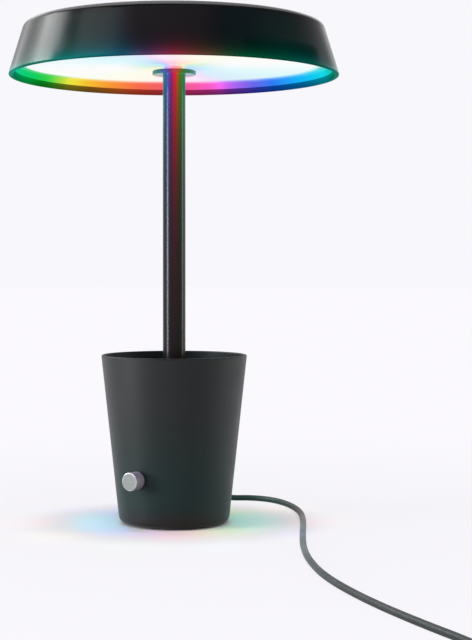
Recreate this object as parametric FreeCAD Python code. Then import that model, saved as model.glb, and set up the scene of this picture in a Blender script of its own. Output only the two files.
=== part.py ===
import FreeCAD, Part

import math
import os

from FreeCAD import Vector

# A desk lamp that stands in its own pen cup. Millimetres, +Z up. The origin is on
# the table under the middle of the post. The front of the lamp is -Y.
# Angles in plan are in degrees, counter-clockwise from +X.

# ---- Driving sizes ----------------------------------------------------------

# Fits and gaps
thread_gap = 0.05          # radial, between a screw and its hole or a bush and its tube
seat_gap = 0.2             # between a dropped-in plate and the wall round it
turning_gap = 0.05         # radial, between the dial's shaft and its bearings
motion_gap = 0.3           # between pieces that pass each other as they move

# Cup
cup_height = 137.4         # to the rim, above the table
cup_base_radius = 44.9     # outside, where the wall's line meets the table
cup_draft = 6.16           # degrees that the wall leans out
cup_wall = 2.5
cup_bottom_round = 5.0
cup_rim_round = 1.0
floor_height = 63.0        # top of the pen floor, above the table
floor_thickness = 2.0
floor_ledge_width = 1.8
floor_ledge_thickness = 2.0
grommet_radius = 11.6      # rubber ring round the post, on the pen floor
grommet_height = 4.0
grommet_round = 1.0
grommet_neck = 1.5         # wall of its neck in the pen floor's hole

# Underside
foot_proud = 1.0           # how far the rubber ring stands below the cover
foot_sink = 0.8            # depth of its groove
foot_width = 3.0
foot_inset = 1.4           # from the cover's edge to the ring
cover_thickness = 2.4
cover_edge_land = 0.9      # flat edge of the cup left outside the cover
cover_shoulder = 1.6       # width of the step that the cover closes against
cup_flange = 3.0           # thickness of the cup's flange over the cover
ballast_thickness = 18.0
ballast_gap = 0.6

# Screws: shank radius, head radius, head height
screw_head_round = 0.6
screw_slot_width = 0.8
screw_slot_depth = 1.0
bottom_screw_radius = 1.7
bottom_screw_head = 3.6
bottom_screw_hold = 10.0   # length held in a pillar
bottom_screw_socket = 2.4  # across the flats of its hexagon
bottom_screw_socket_depth = 1.2
bottom_screw_gap = 0.7     # from its head to the groove of the rubber ring
bottom_screw_count = 3
bottom_screw_start = 24.0  # angle of the first
pillar_radius = 4.0        # pillars under the pen floor that the bottom screws hold
foot_screw_radius = 1.9
foot_screw_head = 3.6
foot_screw_head_height = 2.2
foot_screw_hold = 10.0     # length held in the ballast
foot_screw_inset = 5.2     # from the edge of the post's foot
foot_screw_count = 3
foot_screw_start = 84.0
board_screw_radius = 1.4
board_screw_head = 2.7
board_screw_head_height = 1.8
board_screw_hold = 7.0     # length held in the ballast
head_screw_radius = 1.6
head_screw_head = 3.2
head_screw_head_height = 2.4
head_screw_hold = 10.0     # length held in a boss

# Post
post_radius = 9.3
post_wall = 1.2
post_foot_radius = 20.0
post_foot_thickness = 4.0
post_spigot_height = 14.0
post_bush_height = 14.0
post_lead_hole_height = 49.0
post_lead_hole_radius = 3.4

# Shade
shade_radius = 135.0       # outside, at the lower edge
shade_edge_height = 364.7  # lower edge, above the table
shade_height = 42.4
shade_slope = 17.15        # degrees that the wall leans in towards the top
shade_wall = 1.8
shade_top_wall = 2.2
shade_top_round = 7.0
shade_lip_thickness = 3.8
shade_lip_height = 4.6
shade_lip_round = 1.0
shade_boss_radius = 4.5
shade_boss_inset = 16.0    # from the heat spreader's edge to a boss's middle
shade_boss_count = 6

# Light unit
guide_height = 4.7         # band of the light guide, above the lip
diffuser_thickness = 1.6
diffuser_hub_radius = 11.0
diffuser_hub_drop = 1.2
diffuser_hub_round = 0.6
light_gap = 8.8            # from the diffuser to the circuit board
led_board_thickness = 1.2
led_board_inset = 2.0      # from the heat spreader's edge
led_board_bore = 12.0
spreader_thickness = 1.0
spreader_wall_gap = 9.8    # from its edge to the shade's wall
white_led_length = 3.5
white_led_width = 2.8
white_led_height = 0.8
white_led_inner_circle = 40.0
white_led_inner_count = 10
white_led_boss_gap = 24.0  # from the outer circle in to the bosses' circle
white_led_outer_count = 20
colour_led_side = 5.0
colour_led_height = 1.6
colour_led_inset = 6.0     # from the board's edge to their middle
colour_led_count = 24

# Fixing of the shade on the post
collar_radius = 17.8
collar_thickness = 3.4
collar_rise = 1.7          # collar's underside, above the shade's lower edge
collar_round = 0.8
neck_radius = 8.0
neck_gap = 0.3
nipple_radius = 5.0
nipple_bore = 3.5
nipple_in_post = 12.0
nipple_proud = 0.8         # above the top nut
washer_radius = 9.0
washer_thickness = 0.8
top_nut_flats = 17.0
top_nut_thickness = 4.0

# Control board
board_height = 33.0        # underside, above the table
board_thickness = 1.6
board_wall_gap = 11.6      # from its edge to the cup's wall
board_bore = 10.5
board_dial_gap = 2.5       # from its straight edge to the dial's circuit board
pillar_clearance = 1.0
standoff_radius = 2.6
standoff_foot_gap = 1.8    # from the post's foot
standoff_count = 3
standoff_start = 54.0
transformer_size = (14.0, 12.0, 14.0)   # along the tangent, along the radius, up
transformer_place = (22.5, 199.0)       # distance from the axis, angle
transformer_core_width = 6.0
transformer_core_proud = 1.2
capacitor_radius = 5.0
capacitor_height = 16.0
capacitor_round = 0.6
capacitor_place = (24.0, 111.0)
chip_sizes = ((7.0, 5.0, 1.6), (4.0, 5.0, 1.5), (3.0, 3.0, 1.2))
chip_places = ((22.0, 351.0), (17.0, 18.0), (28.5, 341.0))
socket_size = (8.0, 6.0, 6.4)
socket_circle = 22.5
terminal_size = (10.0, 7.0, 10.0)
terminal_lead_gap = 8.0    # from its outer face to the middle of the lead's upright run

# Leads inside the lamp
lamp_lead_radius = 2.0
lamp_lead_bend_radius = 6.0
lamp_lead_angle = 318.0    # towards its socket on the control board
lamp_lead_rise = 8.0       # height of its bend over the nipple
head_socket_circle = 30.0
head_socket_angle = 138.0
head_socket_window = 1.0   # clearance round the socket in the heat spreader
head_socket_height = 6.0
encoder_lead_radius = 1.2
encoder_lead_bend_radius = 4.0
encoder_lead_rise = 6.0    # above the dial's axis
supply_bend_radius = 7.4
supply_slot_gap = 2.2      # each side of the lead, in ballast and board

# Dial on the front of the cup
knob_angle = 234.8
knob_height = 39.8
knob_radius = 7.25
knob_reach = 12.4          # its face, from the cup's wall
knob_clearance = 0.5       # left between knob and wall when it is pressed
knob_face_thickness = 3.0
knob_edge_round = 0.7
press_travel = 0.5
dial_spot_depth = 0.9      # flat cut into the wall under the nut
dial_spot_margin = 0.6
dial_pad_thickness = 4.8
dial_pad_half_width = 8.0
bushing_radius = 3.5
bushing_proud = 0.5        # beyond the nut
dial_washer_radius = 5.6
dial_washer_thickness = 0.5
dial_nut_flats = 10.0
dial_nut_thickness = 2.0
shaft_radius = 3.0
shaft_flat = 1.4           # depth of the flat that the set screw meets
tail_radius = 2.0
tail_flat = 0.6
set_screw_radius = 1.45
set_screw_length = 4.0
encoder_side = 12.0
encoder_depth = 7.5
encoder_case_wall = 1.0
rotor_radius = 4.4
rotor_thickness = 2.0
rotor_teeth = 12
rotor_tooth_depth = 0.5
plunger_radius = 1.5
plunger_length = 1.4
plunger_gap = 0.05         # between the plunger and the shaft's tail
encoder_board_thickness = 1.6
encoder_board_half_width = 8.0
encoder_board_half_height = 8.8

# Power cord
cord_radius = 2.5
cord_angle = 80.0          # where it leaves the cup
cord_height = 13.0
gland_neck_radius = 4.5
gland_flange_radius = 5.8
gland_flange_thickness = 2.0
gland_flange_round = 0.7
relief_length = 26.0
relief_root_radius = 4.6
relief_tip_radius = 3.4
relief_groove_count = 5
relief_groove_width = 1.2
relief_groove_depth = 0.7
inner_tie_radius = 4.2
inner_tie_length = 4.0

# Put-away coil of the cord: two flat layers, wound clockwise
coil_centre_x = 146.0
coil_centre_y = -491.0
coil_outer_turn = 34.0     # to the cord's middle
coil_inner_turn = 19.0
coil_start_angle = 12.0
coil_turns = 6.25
coil_layers = 2
tie_thickness = 0.8
tie_width = 8.0
tie_angle = 200.0

# Plug
plug_width = 25.0
plug_height = 15.0
plug_length = 30.0
plug_round = 4.0
plug_relief_length = 14.0
plug_relief_root = 5.0
blade_spacing = 12.7
blade_width = 6.35
blade_thickness = 1.5
blade_length = 17.0
blade_root = 5.0           # length held in the plug
blade_hole_radius = 1.5
blade_hole_reach = 12.0    # from the plug's face

# The cord's route across the table, between its straight start and the coil
cord_straight_start = 19.3
cord_route = (
    (29.0, 107.5, 7.2),
    (49.0, 110.6, 2.5),
    (69.5, 112.5, 2.5),
    (88.5, 99.0, 2.5),
    (101.0, 70.0, 2.5),
    (107.0, 31.0, 2.5),
    (105.0, -16.0, 2.5),
    (99.5, -72.0, 2.5),
    (95.0, -130.0, 2.5),
    (95.0, -182.0, 2.5),
    (101.5, -238.0, 2.5),
    (119.0, -303.0, 2.5),
    (142.5, -366.0, 2.5),
    (167.5, -424.0, 2.5),
)
# The cord's end, between the coil and the plug
tail_route = (
    (134.0, -528.5, 7.5),
    (114.5, -530.5, 7.5),
)

# ---- Sizes that follow ------------------------------------------------------

OVER = 1.0                 # how far a cutting tool runs past what it cuts
UP = Vector(0, 0, 1)

cup_bottom = foot_proud
cover_top = cup_bottom + cover_thickness
ballast_top = cover_top + ballast_thickness
post_bottom = ballast_top + post_foot_thickness
floor_underside = floor_height - floor_thickness
grommet_top = floor_height + grommet_height
grommet_neck_radius = post_radius + thread_gap + grommet_neck
board_top = board_height + board_thickness
post_bore = post_radius - post_wall
spigot_radius = post_bore - thread_gap

shade_top = shade_edge_height + shade_height
shade_ceiling = shade_top - shade_top_wall
lip_top = shade_edge_height + shade_lip_height
diffuser_underside = lip_top + guide_height
diffuser_top = diffuser_underside + diffuser_thickness
led_board_underside = diffuser_top + light_gap
spreader_underside = led_board_underside + led_board_thickness
spreader_top = spreader_underside + spreader_thickness
post_top = shade_edge_height + collar_rise
collar_top = post_top + collar_thickness
nipple_top = spreader_top + washer_thickness + top_nut_thickness + nipple_proud


def cup_outside(z):
    """Radius of the cup's outer face at a height."""
    return cup_base_radius + z * math.tan(math.radians(cup_draft))


def cup_inside(z):
    """Radius of the cup's inner face at a height."""
    return cup_outside(z) - cup_wall / math.cos(math.radians(cup_draft))


def shade_face(z, depth=0.0):
    """Radius of the shade's wall at a height, at a depth square to its outer face."""
    slope = math.radians(shade_slope)
    return shade_radius - (z - shade_edge_height) * math.tan(slope) - depth / math.cos(slope)


cover_seat_radius = cup_outside(cup_bottom) - cup_bottom_round - cover_edge_land
cup_throat_radius = cover_seat_radius - cover_shoulder
ballast_radius = cup_throat_radius - ballast_gap
foot_outer_radius = cover_seat_radius - seat_gap - foot_inset
foot_inner_radius = foot_outer_radius - foot_width
pillar_circle = foot_inner_radius - bottom_screw_gap - bottom_screw_head
foot_screw_circle = post_foot_radius - foot_screw_inset
standoff_circle = post_foot_radius + standoff_foot_gap + standoff_radius
board_radius = cup_inside(board_height) - board_wall_gap

diffuser_radius = shade_face(diffuser_top, shade_wall) - seat_gap
spreader_radius = shade_face(spreader_top, shade_wall) - spreader_wall_gap
led_board_radius = spreader_radius - led_board_inset
shade_boss_circle = spreader_radius - shade_boss_inset
white_led_outer_circle = shade_boss_circle - white_led_boss_gap
colour_led_circle = led_board_radius - colour_led_inset

# Places along the dial's axis, from the post's axis outwards
dial_seat = cup_outside(knob_height) - dial_spot_depth
dial_pad = dial_seat - dial_pad_thickness
encoder_back = dial_pad - encoder_depth
encoder_board_back = encoder_back - encoder_board_thickness
board_dial_edge = encoder_board_back - board_dial_gap
nut_corner = dial_nut_flats / 2 / math.cos(math.radians(30))
nut_outer = dial_seat + dial_washer_thickness + dial_nut_thickness
bushing_end = nut_outer + bushing_proud
knob_base = cup_outside(knob_height + knob_radius) + press_travel + knob_clearance
knob_face = cup_outside(knob_height) + knob_reach
rotor_outer = dial_pad - encoder_case_wall - motion_gap
tail_start = rotor_outer + press_travel + motion_gap
rotor_inner = rotor_outer - rotor_thickness
tail_end = rotor_inner - press_travel
plunger_outer = tail_end - plunger_gap
shaft_end = knob_face - knob_face_thickness
skirt_floor = bushing_end + press_travel + motion_gap
set_screw_middle = (skirt_floor + shaft_end) / 2

# Places along the cord's axis, from the post's axis outwards
gland_outer = cup_outside(cord_height) + gland_flange_thickness
gland_inner = cup_inside(cord_height - gland_flange_radius) - gland_flange_thickness
inner_tie_end = gland_inner - inner_tie_length
supply_turn_circle = inner_tie_end - supply_bend_radius
terminal_face = supply_turn_circle - terminal_lead_gap
relief_tip = gland_outer + relief_length

coil_centre = Vector(coil_centre_x, coil_centre_y, 0)
coil_bottom = tie_thickness
coil_top = coil_bottom + 2 * cord_radius * coil_layers
coil_outer_radius = coil_outer_turn + cord_radius
coil_eye_radius = coil_inner_turn - cord_radius

# ---- Helpers ----------------------------------------------------------------


def cylinder(radius, low, high, x=0.0, y=0.0):
    return Part.makeCylinder(radius, high - low, Vector(x, y, low))


def ring(inner, outer, low, high, x=0.0, y=0.0):
    return cylinder(outer, low, high, x, y).cut(cylinder(inner, low - OVER, high + OVER, x, y))


def cone(low_radius, high_radius, low, high):
    return Part.makeCone(low_radius, high_radius, high - low, Vector(0, 0, low))


def block(size, x, y, low):
    """A block centred on x and y that stands on a height."""
    wide, deep, tall = size
    return Part.makeBox(wide, deep, tall, Vector(x - wide / 2, y - deep / 2, low))


def polar(radius, angle, z=0.0):
    turn = math.radians(angle)
    return Vector(radius * math.cos(turn), radius * math.sin(turn), z)


def angles(count, start=0.0):
    return [start + 360.0 * step / count for step in range(count)]


def turned(shape, angle):
    """A copy of a shape, turned about the lamp's axis."""
    copy = shape.copy()
    copy.rotate(Vector(0, 0, 0), UP, angle)
    return copy


def around(shape, count, start=0.0):
    """Copies of a shape made on +X, spread round the lamp's axis."""
    return [turned(shape, angle) for angle in angles(count, start)]


def fused(first, others):
    return first.fuse(others).removeSplitter()


def out_of_side(shape, angle, height):
    """Place a shape made along +Z so that it points out of the side of the lamp."""
    outward = polar(1.0, angle)
    turn = FreeCAD.Rotation(UP.cross(outward), UP, outward, "ZXY")
    copy = shape.copy()
    copy.Placement = FreeCAD.Placement(Vector(0, 0, height), turn).multiply(copy.Placement)
    return copy


def round_edges(shape, z, edge_radius):
    """The circular edges of a shape at a height, of a radius."""
    near = 0.001
    found = []
    for edge in shape.Edges:
        curve = edge.Curve
        if isinstance(curve, Part.Circle):
            if abs(curve.Center.z - z) < near and abs(curve.Radius - edge_radius) < near:
                found.append(edge)
    return found


def hexagon(flats, low, high):
    corner = flats / 2 / math.cos(math.radians(30))
    corners = [polar(corner, angle, low) for angle in angles(6)]
    return Part.Face(Part.makePolygon(corners + corners[:1])).extrude(UP * (high - low))


def flat_shaft(radius, flat, low, high):
    """A round bar with a flat along its lower side."""
    bar = cylinder(radius, low, high)
    side = 2 * radius + OVER
    cutter = Part.makeBox(side, side, high - low, Vector(-side / 2, flat - radius - side, low))
    return bar.cut(cutter)


def turn_at(points, index):
    """The angle that a route turns by at one of its points."""
    back = points[index - 1] - points[index]
    ahead = points[index + 1] - points[index]
    return math.pi - back.getAngle(ahead)


def bent_path(points, bends):
    """Straight runs joined by tangent arcs of the given radii."""
    edges = []
    here = points[0]
    for index, bend in enumerate(bends, start=1):
        corner = points[index]
        back = (points[index - 1] - corner).normalize()
        ahead = (points[index + 1] - corner).normalize()
        half = turn_at(points, index) / 2
        reach = bend * math.tan(half)
        inward = (back + ahead).normalize()
        middle = corner + inward * (bend / math.cos(half) - bend)
        edges.append(Part.LineSegment(here, corner + back * reach).toShape())
        here = corner + ahead * reach
        edges.append(Part.Arc(corner + back * reach, middle, here).toShape())
    edges.append(Part.LineSegment(here, points[-1]).toShape())
    return Part.Wire(edges)


def tube(points, bends, radius):
    """A round cord or lead along a route."""
    path = bent_path(points, bends)
    start = Part.Wire(Part.makeCircle(radius, points[0], points[1] - points[0]))
    solid = path.makePipeShell([start], True, False)
    return solid


def cord_bends(points):
    """The largest arc at each point of a free cord that its two runs allow."""
    share = 0.45
    bends = []
    for index in range(1, len(points) - 1):
        before = (points[index] - points[index - 1]).Length
        after = (points[index + 1] - points[index]).Length
        bends.append(share * min(before, after) / math.tan(turn_at(points, index) / 2))
    return bends


# ---- Cup --------------------------------------------------------------------


def cup_outer_solid():
    body = cone(cup_outside(cup_bottom), cup_outside(cup_height), cup_bottom, cup_height)
    edge = round_edges(body, cup_bottom, cup_outside(cup_bottom))
    return body.makeFillet(cup_bottom_round, edge)


def cup_shell():
    outer = cup_outer_solid()
    hollow_start = cover_top + cup_flange
    hollow_top = cup_height + OVER
    hollow = cone(cup_inside(hollow_start), cup_inside(hollow_top), hollow_start, hollow_top)
    shell = outer.cut(hollow)
    rim = round_edges(shell, cup_height, cup_outside(cup_height))
    rim += round_edges(shell, cup_height, cup_inside(cup_height))
    shell = shell.makeFillet(cup_rim_round, rim)
    shell = shell.cut(cylinder(cover_seat_radius, cup_bottom - OVER, cover_top))
    shell = shell.cut(cylinder(cup_throat_radius, cup_bottom, hollow_start + OVER))

    ledge_bottom = floor_underside - floor_ledge_thickness
    ledge = ring(cup_inside(floor_underside) - floor_ledge_width,
                 cup_inside(ledge_bottom) + cup_wall / 2, ledge_bottom, floor_underside)

    pad_width = 2 * dial_pad_half_width
    pad = block((pad_width, pad_width, dial_pad_thickness + dial_spot_depth), 0, 0, dial_pad)
    pad = out_of_side(pad, knob_angle, knob_height).common(outer)
    shell = fused(shell, [ledge, pad])

    spot_radius = max(nut_corner, dial_washer_radius) + dial_spot_margin
    spot = cylinder(spot_radius, dial_seat, knob_face)
    bore = cylinder(bushing_radius + thread_gap, dial_pad - OVER, knob_face)
    for cutter in (spot, bore):
        shell = shell.cut(out_of_side(cutter, knob_angle, knob_height))
    gland_hole = cylinder(gland_neck_radius, cup_throat_radius, gland_outer)
    return shell.cut(out_of_side(gland_hole, cord_angle, cord_height))


def under_screws(shape):
    """Copies of a shape, one on each bottom screw's axis."""
    return around(shape, bottom_screw_count, bottom_screw_start)


def cup_floor():
    plate_radius = cup_inside(floor_underside) - seat_gap
    plate = cylinder(plate_radius, floor_underside, floor_height)
    pillar = cylinder(pillar_radius, ballast_top, floor_height, pillar_circle)
    pilot = cylinder(bottom_screw_radius + thread_gap, ballast_top - OVER,
                     ballast_top + bottom_screw_hold + OVER, pillar_circle)
    part = fused(plate, under_screws(pillar)).cut(under_screws(pilot))
    return part.cut(cylinder(grommet_neck_radius + thread_gap, floor_underside - OVER,
                             floor_height + OVER))


def floor_grommet():
    """Closes the gap between the pen floor and the post."""
    flange = cylinder(grommet_radius, floor_height, grommet_top)
    flange = flange.makeFillet(grommet_round, round_edges(flange, grommet_top, grommet_radius))
    neck = cylinder(grommet_neck_radius, floor_underside, floor_height)
    bore = cylinder(post_radius + thread_gap, floor_underside - OVER, grommet_top + OVER)
    return fused(flange, [neck]).cut(bore)


# ---- Underside and ballast --------------------------------------------------


def bottom_cover():
    head = bottom_screw_head + thread_gap
    shank = bottom_screw_radius + thread_gap
    cover = cylinder(cover_seat_radius - seat_gap, cup_bottom, cover_top)
    groove = ring(foot_inner_radius, foot_outer_radius, cup_bottom - OVER, cup_bottom + foot_sink)
    sink = Part.makeCone(head, shank, head - shank, Vector(pillar_circle, 0, cup_bottom))
    hole = cylinder(shank, cup_bottom, cover_top + OVER, pillar_circle)
    cover = cover.cut(groove)
    return cover.cut(under_screws(sink.fuse(hole)))


def foot_ring():
    return ring(foot_inner_radius, foot_outer_radius, 0.0, cup_bottom + foot_sink)


def bottom_screws():
    head = Part.makeCone(bottom_screw_head, bottom_screw_radius,
                         bottom_screw_head - bottom_screw_radius,
                         Vector(pillar_circle, 0, cup_bottom))
    shank = cylinder(bottom_screw_radius, cup_bottom + bottom_screw_head - bottom_screw_radius,
                     ballast_top + bottom_screw_hold, pillar_circle)
    socket = hexagon(bottom_screw_socket, cup_bottom - OVER,
                     cup_bottom + bottom_screw_socket_depth)
    socket.translate(Vector(pillar_circle, 0, 0))
    screw = fused(head, [shank]).cut(socket)
    return Part.makeCompound(under_screws(screw))


def supply_slot(low, high):
    """Room for the supply lead in the ballast and in the control board."""
    half = cord_radius + supply_slot_gap
    inner = supply_turn_circle - half
    slot = Part.makeBox(cup_throat_radius, 2 * half, high - low, Vector(inner, -half, low))
    return turned(slot, cord_angle)


def ballast_weight():
    disc = cylinder(ballast_radius, cover_top, ballast_top)
    through = cylinder(bottom_screw_radius + seat_gap, cover_top - OVER, ballast_top + OVER,
                       pillar_circle)
    foot_hole = cylinder(foot_screw_radius + thread_gap, ballast_top - foot_screw_hold - OVER,
                         ballast_top + OVER, foot_screw_circle)
    board_hole = cylinder(board_screw_radius + thread_gap, ballast_top - board_screw_hold - OVER,
                          ballast_top + OVER, standoff_circle)
    holes = under_screws(through) + around(foot_hole, foot_screw_count, foot_screw_start)
    holes += around(board_hole, standoff_count, standoff_start)
    return disc.cut(holes + [supply_slot(cover_top - OVER, ballast_top + OVER)])


# ---- Post -------------------------------------------------------------------


def post_foot():
    flange = cylinder(post_foot_radius, ballast_top, post_bottom)
    flange = flange.makeFillet(cup_rim_round, round_edges(flange, post_bottom, post_foot_radius))
    spigot = cylinder(spigot_radius, ballast_top, post_bottom + post_spigot_height)
    hole = cylinder(foot_screw_radius + seat_gap, ballast_top - OVER, post_bottom + OVER,
                    foot_screw_circle)
    return fused(flange, [spigot]).cut(around(hole, foot_screw_count, foot_screw_start))


def pan_screw(shank_radius, shank_length, head_radius, head_height, seat, x):
    """A screw that points down, its head seated on a height."""
    head = cylinder(head_radius, seat, seat + head_height, x)
    head = head.makeFillet(screw_head_round, round_edges(head, seat + head_height, head_radius))
    shank = cylinder(shank_radius, seat - shank_length, seat, x)
    slot = block((2 * head_radius, screw_slot_width, screw_slot_depth + OVER), x, 0,
                 seat + head_height - screw_slot_depth)
    return fused(head, [shank]).cut(slot)


def post_foot_screws():
    screw = pan_screw(foot_screw_radius, post_foot_thickness + foot_screw_hold, foot_screw_head,
                      foot_screw_head_height, post_bottom, foot_screw_circle)
    return Part.makeCompound(around(screw, foot_screw_count, foot_screw_start))


def post_tube():
    post = ring(post_bore, post_radius, post_bottom, post_top)
    hole = cylinder(post_lead_hole_radius, 0.0, post_radius + OVER)
    return post.cut(out_of_side(hole, lamp_lead_angle, post_lead_hole_height))


def post_top_bush():
    return ring(nipple_radius + thread_gap, spigot_radius, post_top - post_bush_height, post_top)


def threaded_nipple():
    return ring(nipple_bore, nipple_radius, post_top - nipple_in_post, nipple_top)


def post_collar():
    disc = cylinder(collar_radius, post_top, collar_top)
    edges = round_edges(disc, post_top, collar_radius) + round_edges(disc, collar_top, collar_radius)
    disc = disc.makeFillet(collar_round, edges)
    neck = cylinder(neck_radius, post_top + collar_thickness / 2, spreader_underside)
    bore = cylinder(nipple_radius + thread_gap, post_top - OVER, spreader_underside + OVER)
    return fused(disc, [neck]).cut(bore)


def lock_washer():
    return ring(nipple_radius + thread_gap, washer_radius, spreader_top,
                spreader_top + washer_thickness)


def top_nut():
    seat = spreader_top + washer_thickness
    nut = hexagon(top_nut_flats, seat, seat + top_nut_thickness)
    return nut.cut(cylinder(nipple_radius + thread_gap, seat - OVER, nipple_top + OVER))


# ---- Shade ------------------------------------------------------------------


def shade_shell():
    low, high = shade_edge_height, shade_top
    outer = cone(shade_face(low), shade_face(high), low, high)
    outer = outer.makeFillet(shade_top_round, round_edges(outer, high, shade_face(high)))
    hollow = cone(shade_face(lip_top, shade_wall), shade_face(shade_ceiling, shade_wall),
                  lip_top, shade_ceiling)
    inner_round = max(shade_top_round - shade_top_wall, shade_top_wall)
    corner = round_edges(hollow, shade_ceiling, shade_face(shade_ceiling, shade_wall))
    hollow = hollow.makeFillet(inner_round, corner)
    mouth = cone(shade_face(low - OVER, shade_lip_thickness),
                 shade_face(lip_top, shade_lip_thickness), low - OVER, lip_top)
    shell = outer.cut(mouth.fuse(hollow))
    lip = round_edges(shell, low, shade_face(low))
    lip += round_edges(shell, low, shade_face(low, shade_lip_thickness))
    shell = shell.makeFillet(shade_lip_round, lip)
    boss = cylinder(shade_boss_radius, spreader_top, shade_ceiling + shade_top_wall / 2,
                    shade_boss_circle)
    pilot = cylinder(head_screw_radius + thread_gap, spreader_top - OVER,
                     spreader_top + head_screw_hold + OVER, shade_boss_circle)
    shell = fused(shell, around(boss, shade_boss_count))
    return shell.cut(around(pilot, shade_boss_count))


def diffuser_ring():
    outer = cone(shade_face(lip_top, shade_wall + thread_gap),
                 shade_face(diffuser_underside, shade_wall + thread_gap),
                 lip_top, diffuser_underside)
    inner = cone(shade_face(lip_top - OVER, shade_lip_thickness),
                 shade_face(diffuser_underside + OVER, shade_lip_thickness),
                 lip_top - OVER, diffuser_underside + OVER)
    return outer.cut(inner)


def diffuser():
    sheet = cylinder(diffuser_radius, diffuser_underside, diffuser_top)
    hub = cylinder(diffuser_hub_radius, diffuser_underside - diffuser_hub_drop, diffuser_top)
    hub_edge = round_edges(hub, diffuser_underside - diffuser_hub_drop, diffuser_hub_radius)
    hub = hub.makeFillet(diffuser_hub_round, hub_edge)
    bore = cylinder(neck_radius + neck_gap, post_top, diffuser_top + OVER)
    return fused(sheet, [hub]).cut(bore)


def head_screw_holes(low, high):
    hole = cylinder(head_screw_radius + seat_gap, low, high, shade_boss_circle)
    return around(hole, shade_boss_count)


def led_board():
    board = ring(led_board_bore, led_board_radius, led_board_underside, spreader_underside)
    return board.cut(head_screw_holes(led_board_underside - OVER, spreader_underside + OVER))


def heat_spreader():
    plate = ring(nipple_radius + seat_gap, spreader_radius, spreader_underside, spreader_top)
    wide, deep, tall = socket_size
    window_size = (deep + 2 * head_socket_window, wide + 2 * head_socket_window, tall)
    window = block(window_size, head_socket_circle, 0, spreader_underside - OVER)
    cuts = head_screw_holes(spreader_underside - OVER, spreader_top + OVER)
    return plate.cut(cuts + [turned(window, head_socket_angle)])


def head_socket():
    wide, deep, tall = socket_size
    socket = block((deep, wide, head_socket_height), head_socket_circle, 0, spreader_underside)
    return turned(socket, head_socket_angle)


def head_screws():
    screw = pan_screw(head_screw_radius, led_board_thickness + spreader_thickness + head_screw_hold,
                      head_screw_head, head_screw_head_height, 0.0, 0.0)
    screw.rotate(Vector(0, 0, 0), Vector(1, 0, 0), 180)
    screw.translate(Vector(shade_boss_circle, 0, led_board_underside))
    return Part.makeCompound(around(screw, shade_boss_count))


def white_leds():
    size = (white_led_width, white_led_length, white_led_height)
    low = led_board_underside - white_led_height
    inner = around(block(size, white_led_inner_circle, 0, low), white_led_inner_count)
    outer = around(block(size, white_led_outer_circle, 0, low), white_led_outer_count)
    return Part.makeCompound(inner + outer)


def colour_leds():
    size = (colour_led_side, colour_led_side, colour_led_height)
    half_step = 180.0 / colour_led_count
    package = block(size, colour_led_circle, 0, led_board_underside - colour_led_height)
    return Part.makeCompound(around(package, colour_led_count, half_step))


# ---- Control board ----------------------------------------------------------


def control_board():
    board = ring(board_bore, board_radius, board_height, board_top)
    behind_dial = Part.makeBox(board_radius, 2 * board_radius, board_thickness + 2 * OVER,
                               Vector(board_dial_edge, -board_radius, board_height - OVER))
    scallop = cylinder(pillar_radius + pillar_clearance, board_height - OVER, board_top + OVER,
                       pillar_circle)
    hole = cylinder(board_screw_radius + seat_gap, board_height - OVER, board_top + OVER,
                    standoff_circle)
    cuts = under_screws(scallop) + around(hole, standoff_count, standoff_start)
    cuts += [turned(behind_dial, knob_angle), supply_slot(board_height - OVER, board_top + OVER)]
    return board.cut(cuts)


def board_standoffs():
    standoff = ring(board_screw_radius + thread_gap, standoff_radius, ballast_top, board_height,
                    standoff_circle)
    return Part.makeCompound(around(standoff, standoff_count, standoff_start))


def board_screws():
    length = board_top - ballast_top + board_screw_hold
    screw = pan_screw(board_screw_radius, length, board_screw_head, board_screw_head_height,
                      board_top, standoff_circle)
    return Part.makeCompound(around(screw, standoff_count, standoff_start))


def on_board(size, place):
    """A block on the control board, its first size along the tangent."""
    wide, deep, tall = size
    distance, angle = place
    return turned(block((deep, wide, tall), distance, 0, board_top), angle)


def driver_transformer():
    wide, deep, tall = transformer_size
    winding = on_board((wide - 2 * transformer_core_proud, deep, tall - transformer_core_proud),
                       transformer_place)
    core = on_board((wide, transformer_core_width, tall), transformer_place)
    return fused(winding, [core])


def bulk_capacitor():
    distance, angle = capacitor_place
    can = cylinder(capacitor_radius, board_top, board_top + capacitor_height, distance)
    top = round_edges(can, board_top + capacitor_height, capacitor_radius)
    can = can.makeFillet(capacitor_round, top)
    return turned(can, angle)


def board_chips():
    return Part.makeCompound([on_board(size, place) for size, place in zip(chip_sizes, chip_places)])


def board_sockets():
    lamp = on_board(socket_size, (socket_circle, lamp_lead_angle))
    dial = on_board(socket_size, (socket_circle, knob_angle))
    return Part.makeCompound([lamp, dial])


def terminal_block():
    wide, deep, tall = terminal_size
    return on_board(terminal_size, (terminal_face - deep / 2, cord_angle))


# ---- Leads inside the lamp --------------------------------------------------


def lamp_lead():
    """From the socket on the light unit, down the post, to the control board."""
    over = nipple_top + lamp_lead_rise
    hole = post_lead_hole_height
    points = [
        polar(head_socket_circle, head_socket_angle, spreader_underside + head_socket_height),
        polar(head_socket_circle, head_socket_angle, over),
        Vector(0, 0, over),
        Vector(0, 0, hole),
        polar(socket_circle, lamp_lead_angle, hole),
        polar(socket_circle, lamp_lead_angle, board_top + socket_size[2]),
    ]
    return tube(points, [lamp_lead_bend_radius] * (len(points) - 2), lamp_lead_radius)


def encoder_lead():
    height = knob_height + encoder_lead_rise
    points = [
        polar(encoder_board_back, knob_angle, height),
        polar(socket_circle, knob_angle, height),
        polar(socket_circle, knob_angle, board_top + socket_size[2]),
    ]
    return tube(points, [encoder_lead_bend_radius], encoder_lead_radius)


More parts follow.
